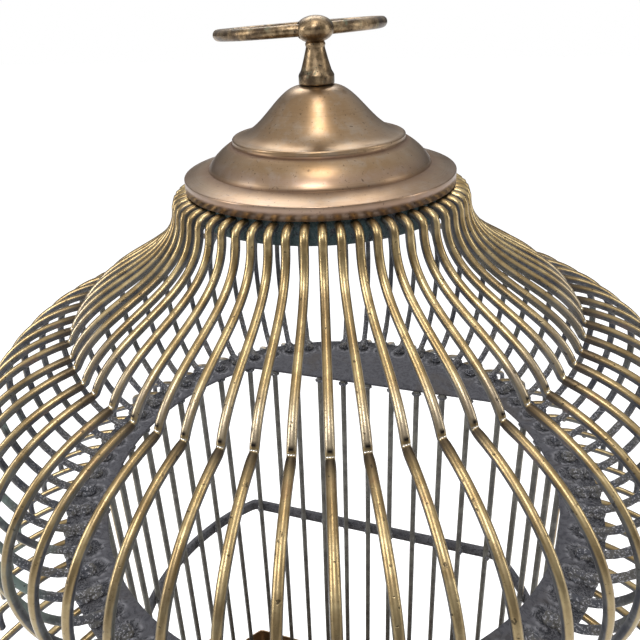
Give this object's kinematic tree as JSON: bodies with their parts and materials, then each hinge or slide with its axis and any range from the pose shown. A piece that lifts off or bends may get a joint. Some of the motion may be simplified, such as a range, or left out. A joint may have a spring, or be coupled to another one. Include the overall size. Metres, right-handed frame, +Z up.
{
  "type": "bird cage on stand",
  "caption": "Bird cage with an onion-shaped wire dome under a spun cap and ring, on a flat-backed wire body with a door, seed pan and cups, standing on a splayed four-legged stand.",
  "frame": {"origin": "on the floor, straight below the cage's axis", "axes": "+Z up, the door towards -Y, the flat back towards +Y"},
  "size_m": [0.4316, 0.4316, 1.2347],
  "materials": {
    "spun_brass": "spun coppery brass, satin, brown in the creases",
    "aged_brass": "old drawn brass wire, gold where rubbed, slate and green where tarnished",
    "dark_solder": "blackened brass sheet with dull grey solder",
    "stand_brass": "dark bronzed brass tube",
    "perch_wood": "worn turned hardwood",
    "china": "cream glaze"
  },
  "bodies": {
    "stand": {"foot_back_left": "stand_brass", "foot_back_right": "stand_brass", "foot_front_left": "stand_brass", "foot_front_right": "stand_brass", "leg_back_left": "stand_brass", "leg_back_right": "stand_brass", "leg_front_left": "stand_brass", "leg_front_right": "stand_brass", "leg_screw_back_left": "aged_brass", "leg_screw_back_right": "aged_brass", "leg_screw_front_left": "aged_brass", "leg_screw_front_right": "aged_brass", "stand_frame": "stand_brass", "stretcher_back": "stand_brass", "stretcher_front": "stand_brass", "stretcher_left": "stand_brass", "stretcher_right": "stand_brass"},
    "pan": {"seed_pan": "spun_brass"},
    "cage": {"base_hoop": "dark_solder", "body_wires_back": "aged_brass", "body_wires_left_front": "aged_brass", "body_wires_left_rear": "aged_brass", "body_wires_right_front": "aged_brass", "body_wires_right_rear": "aged_brass", "collar_band": "dark_solder", "cup_holder_left": "aged_brass", "cup_holder_right": "aged_brass", "dome_wires_01": "aged_brass", "dome_wires_02": "aged_brass", "dome_wires_03": "aged_brass", "dome_wires_04": "aged_brass", "dome_wires_05": "aged_brass", "dome_wires_06": "aged_brass", "dome_wires_07": "aged_brass", "dome_wires_08": "aged_brass", "dome_wires_09": "aged_brass", "dome_wires_10": "aged_brass", "dome_wires_11": "aged_brass", "dome_wires_12": "aged_brass", "door_frame": "aged_brass", "eave_wires_1": "aged_brass", "eave_wires_2": "aged_brass", "eave_wires_3": "aged_brass", "eave_wires_4": "aged_brass", "eave_wires_5": "aged_brass", "eave_wires_6": "aged_brass", "finial": "aged_brass", "finial_nut": "aged_brass", "lower_rail": "dark_solder", "perch_front": "perch_wood", "perch_rear": "perch_wood", "spun_cap": "spun_brass", "waist_plate": "dark_solder"},
    "ring": {"top_ring": "aged_brass"},
    "door": {"door": "aged_brass"},
    "latch": {"door_latch": "aged_brass"},
    "cup_left": {"feeder_cup_left": "china"},
    "cup_right": {"feeder_cup_right": "china"}
  },
  "joints": [
    {"name": "pan_lift", "type": "slide", "parent": "stand", "child": "pan", "axis": [0, 0, 1], "range_m": [0, 0.2]},
    {"name": "cage_lift", "type": "slide", "parent": "pan", "child": "cage", "axis": [0, 0, 1], "range_m": [0, 0.3]},
    {"name": "ring_swing", "type": "hinge", "parent": "cage", "child": "ring", "pos_m": [0, 0, 1.2287], "axis": [0.8783, 0.4769, 0.0349], "range_deg": [-37, 219]},
    {"name": "door_hinge", "type": "hinge", "parent": "cage", "child": "door", "pos_m": [-0.052, -0.15257, 0.6384], "axis": [0, -0.0387, -0.9992], "range_deg": [0, 110]},
    {"name": "latch_turn", "type": "hinge", "parent": "cage", "child": "latch", "pos_m": [0.052, -0.15, 0.6555], "axis": [0, 1, 0], "range_deg": [0, 90]},
    {"name": "cup_left_lift", "type": "slide", "parent": "cage", "child": "cup_left", "axis": [0, 0, 1], "range_m": [0, 0.06]},
    {"name": "cup_right_lift", "type": "slide", "parent": "cage", "child": "cup_right", "axis": [0, 0, 1], "range_m": [0, 0.06]}
  ]
}
